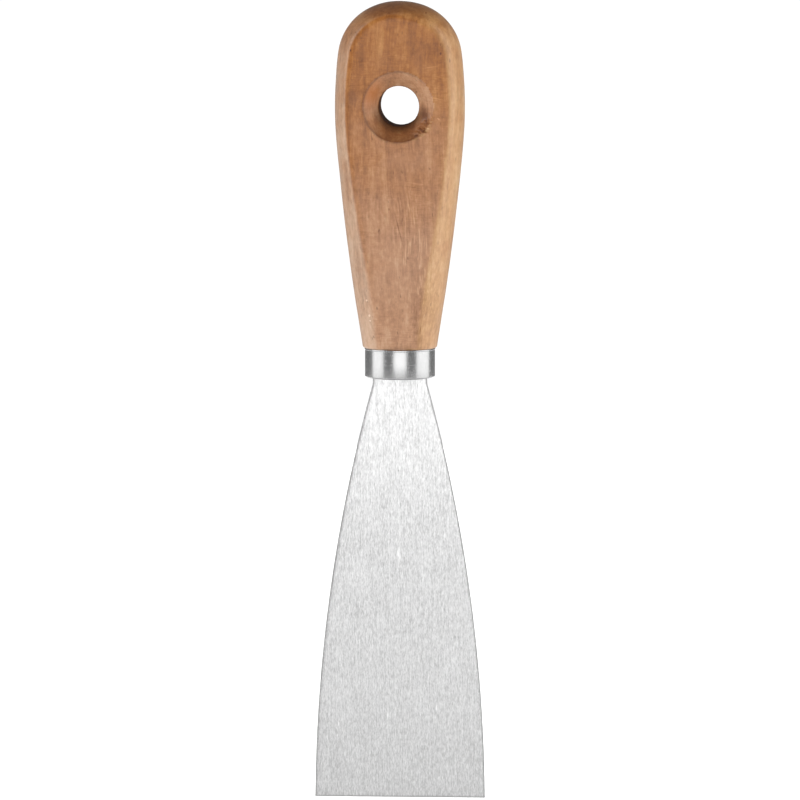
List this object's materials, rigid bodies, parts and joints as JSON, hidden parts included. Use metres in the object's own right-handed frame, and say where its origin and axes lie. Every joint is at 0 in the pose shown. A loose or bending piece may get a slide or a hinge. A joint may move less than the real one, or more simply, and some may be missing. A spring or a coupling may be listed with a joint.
{
  "type": "flexible putty knife",
  "caption": "Flexible putty knife with a flared square-edged steel blade, a steel ferrule and a flat-faced wooden handle with a countersunk hang hole.",
  "frame": {"origin": "centre of the hang hole, midway between the handle's two flats", "axes": "+Z along the knife towards the handle's crown, so the blade hangs down -Z; X across the blade's width; Y through the thickness, with the front flat facing -Y"},
  "size_m": [0.05, 0.023, 0.2339],
  "materials": {
    "handle_wood": "clear-lacquered hardwood, satin, fine straight grain",
    "ferrule_steel": "satin drawn steel, turned brushing round the cup",
    "blade_steel": "ground spring steel, fine lengthwise brushing",
    "adhesive": "cured two-part epoxy, matte"
  },
  "bodies": {
    "handle_body": {"handle": "handle_wood", "ferrule": "ferrule_steel", "blade_tang": "blade_steel", "tang_adhesive": "adhesive"},
    "blade_body": {"blade": "blade_steel"}
  },
  "joints": [
    {"name": "blade_flex", "type": "hinge", "parent": "handle_body", "child": "blade_body", "pos_m": [0, 0, -0.0788], "axis": [1, 0, 0], "range_deg": [-20, 20], "stiffness_Nm_per_rad": 7.5}
  ]
}
